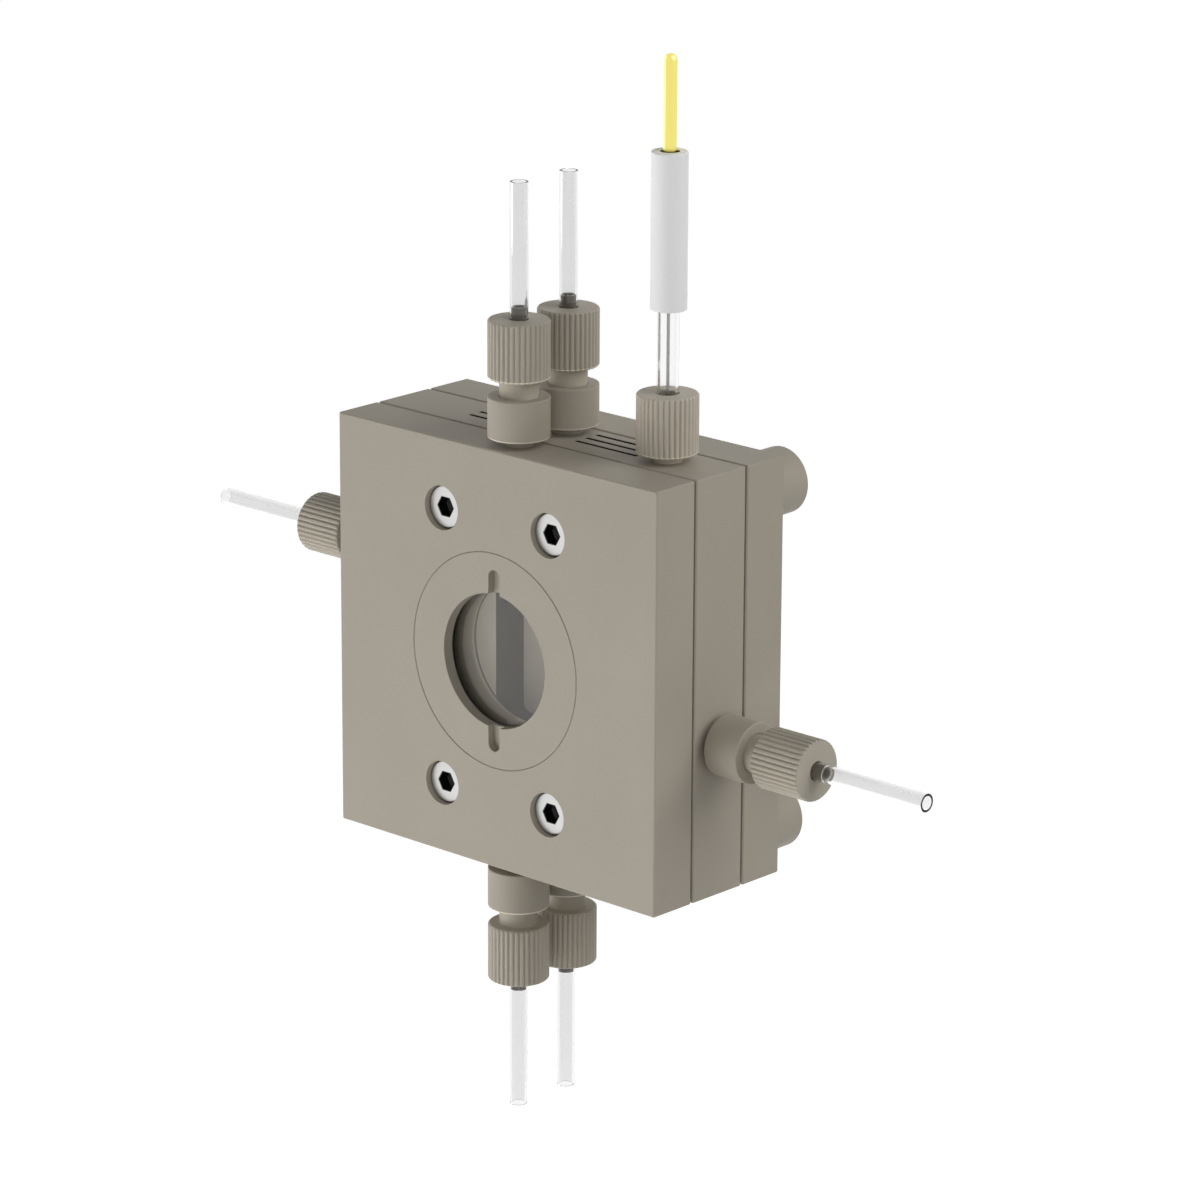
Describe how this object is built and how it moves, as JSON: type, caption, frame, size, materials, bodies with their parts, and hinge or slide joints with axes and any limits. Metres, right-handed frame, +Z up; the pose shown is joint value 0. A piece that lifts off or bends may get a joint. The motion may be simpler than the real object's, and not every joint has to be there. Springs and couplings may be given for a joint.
{
  "type": "photoelectrochemical flow cell",
  "caption": "Square clamped flow cell with a round light window, knurled tube fittings on four sides, a reference electrode on top and feet behind.",
  "frame": {"origin": "centre of the round light opening, on the front face", "axes": "+Z up, +X to the right seen from the front, +Y into the block away from the window"},
  "size_m": [0.1554, 0.0375, 0.1778],
  "materials": {
    "body_plastic": "fine machined, satin",
    "white_plastic": "satin",
    "insert_plastic": "satin",
    "clear_tube": "clear, gloss",
    "window_glass": "polished",
    "electrode_glass": "polished",
    "gasket": "matt",
    "electrode_sheet": "fine brushed",
    "membrane": "satin",
    "frit": "porous, matt",
    "screw_steel": "bright",
    "silver_wire": "tarnished silver",
    "gold_pin": "polished gold plate"
  },
  "bodies": {
    "block": {"front_plate": "body_plastic", "middle_plate": "body_plastic", "rear_plate": "body_plastic", "window_glass": "window_glass", "window_gasket": "gasket", "front_gasket": "gasket", "rear_gasket": "gasket", "electrode_gasket": "gasket", "working_electrode": "electrode_sheet", "membrane": "membrane", "spacer_frame": "white_plastic", "counter_electrode": "electrode_sheet", "pressure_pad": "gasket", "clamp_screws": "screw_steel", "foot_screws": "screw_steel", "upper_left_foot": "body_plastic", "upper_right_foot": "body_plastic", "lower_left_foot": "body_plastic", "lower_right_foot": "body_plastic", "top_front_adapter": "body_plastic", "bottom_front_adapter": "body_plastic", "top_rear_adapter": "body_plastic", "bottom_rear_adapter": "body_plastic", "left_adapter": "body_plastic", "right_adapter": "body_plastic"},
    "window_washer_carrier": {"window_slip_washer": "white_plastic"},
    "window_ring_body": {"window_ring": "body_plastic"},
    "top_front_line": {"top_front_tube": "clear_tube", "top_front_tube_insert": "insert_plastic", "top_front_ferrule": "body_plastic"},
    "top_front_nut_body": {"top_front_nut": "body_plastic"},
    "bottom_front_line": {"bottom_front_tube": "clear_tube", "bottom_front_tube_insert": "insert_plastic", "bottom_front_ferrule": "body_plastic"},
    "bottom_front_nut_body": {"bottom_front_nut": "body_plastic"},
    "top_rear_line": {"top_rear_tube": "clear_tube", "top_rear_tube_insert": "insert_plastic", "top_rear_ferrule": "body_plastic"},
    "top_rear_nut_body": {"top_rear_nut": "body_plastic"},
    "bottom_rear_line": {"bottom_rear_tube": "clear_tube", "bottom_rear_tube_insert": "insert_plastic", "bottom_rear_ferrule": "body_plastic"},
    "bottom_rear_nut_body": {"bottom_rear_nut": "body_plastic"},
    "left_line": {"left_tube": "clear_tube", "left_tube_insert": "insert_plastic", "left_ferrule": "body_plastic"},
    "left_nut_body": {"left_nut": "body_plastic"},
    "right_line": {"right_tube": "clear_tube", "right_tube_insert": "insert_plastic", "right_ferrule": "body_plastic"},
    "right_nut_body": {"right_nut": "body_plastic"},
    "reference_electrode": {"reference_glass": "electrode_glass", "reference_seal": "gasket", "reference_frit": "frit", "silver_wire": "silver_wire", "reference_sleeve": "white_plastic", "contact_pin": "gold_pin"},
    "reference_nut_body": {"reference_nut": "body_plastic"}
  },
  "joints": [
    {"name": "window_ring_lift", "type": "slide", "parent": "block", "child": "window_washer_carrier", "axis": [0, -1, 0], "range_m": [0, 0.0019]},
    {"name": "window_ring_turn", "type": "hinge", "parent": "window_washer_carrier", "child": "window_ring_body", "pos_m": [0, 0, 0], "axis": [0, -1, 0], "range_deg": [0, 684]},
    {"name": "top_front_nut_lift", "type": "slide", "parent": "block", "child": "top_front_line", "axis": [0, 0, 1], "range_m": [0, 0.0032]},
    {"name": "top_front_nut_turn", "type": "hinge", "parent": "top_front_line", "child": "top_front_nut_body", "pos_m": [0, 0.0058, 0.05], "axis": [0, 0, 1], "range_deg": [0, 1270.2]},
    {"name": "bottom_front_nut_lift", "type": "slide", "parent": "block", "child": "bottom_front_line", "axis": [0, 0, -1], "range_m": [0, 0.0032]},
    {"name": "bottom_front_nut_turn", "type": "hinge", "parent": "bottom_front_line", "child": "bottom_front_nut_body", "pos_m": [0, 0.0058, -0.05], "axis": [0, 0, -1], "range_deg": [0, 1270.2]},
    {"name": "top_rear_nut_lift", "type": "slide", "parent": "block", "child": "top_rear_line", "axis": [0, 0, 1], "range_m": [0, 0.0032]},
    {"name": "top_rear_nut_turn", "type": "hinge", "parent": "top_rear_line", "child": "top_rear_nut_body", "pos_m": [0, 0.01723, 0.05], "axis": [0, 0, 1], "range_deg": [0, 1270.2]},
    {"name": "bottom_rear_nut_lift", "type": "slide", "parent": "block", "child": "bottom_rear_line", "axis": [0, 0, -1], "range_m": [0, 0.0032]},
    {"name": "bottom_rear_nut_turn", "type": "hinge", "parent": "bottom_rear_line", "child": "bottom_rear_nut_body", "pos_m": [0, 0.01723, -0.05], "axis": [0, 0, -1], "range_deg": [0, 1270.2]},
    {"name": "left_nut_lift", "type": "slide", "parent": "block", "child": "left_line", "axis": [-1, 0, 0], "range_m": [0, 0.0032]},
    {"name": "left_nut_turn", "type": "hinge", "parent": "left_line", "child": "left_nut_body", "pos_m": [-0.05, 0.015, 0.0093], "axis": [-1, 0, 0], "range_deg": [0, 1270.2]},
    {"name": "right_nut_lift", "type": "slide", "parent": "block", "child": "right_line", "axis": [1, 0, 0], "range_m": [0, 0.0032]},
    {"name": "right_nut_turn", "type": "hinge", "parent": "right_line", "child": "right_nut_body", "pos_m": [0.05, 0.015, -0.0093], "axis": [1, 0, 0], "range_deg": [0, 1270.2]},
    {"name": "reference_nut_lift", "type": "slide", "parent": "block", "child": "reference_electrode", "axis": [0, 0, 1], "range_m": [0, 0.005]},
    {"name": "reference_nut_turn", "type": "hinge", "parent": "reference_electrode", "child": "reference_nut_body", "pos_m": [0.0235, 0.015, 0.041], "axis": [0, 0, 1], "range_deg": [0, 2250]}
  ],
  "couplings": [
    {"joint": "window_ring_turn", "follows": "window_ring_lift", "rad_per_m": 6283.2},
    {"joint": "top_front_nut_turn", "follows": "top_front_nut_lift", "rad_per_m": 6927.4},
    {"joint": "bottom_front_nut_turn", "follows": "bottom_front_nut_lift", "rad_per_m": 6927.4},
    {"joint": "top_rear_nut_turn", "follows": "top_rear_nut_lift", "rad_per_m": 6927.4},
    {"joint": "bottom_rear_nut_turn", "follows": "bottom_rear_nut_lift", "rad_per_m": 6927.4},
    {"joint": "left_nut_turn", "follows": "left_nut_lift", "rad_per_m": 6927.4},
    {"joint": "right_nut_turn", "follows": "right_nut_lift", "rad_per_m": 6927.4},
    {"joint": "reference_nut_turn", "follows": "reference_nut_lift", "rad_per_m": 7854}
  ]
}
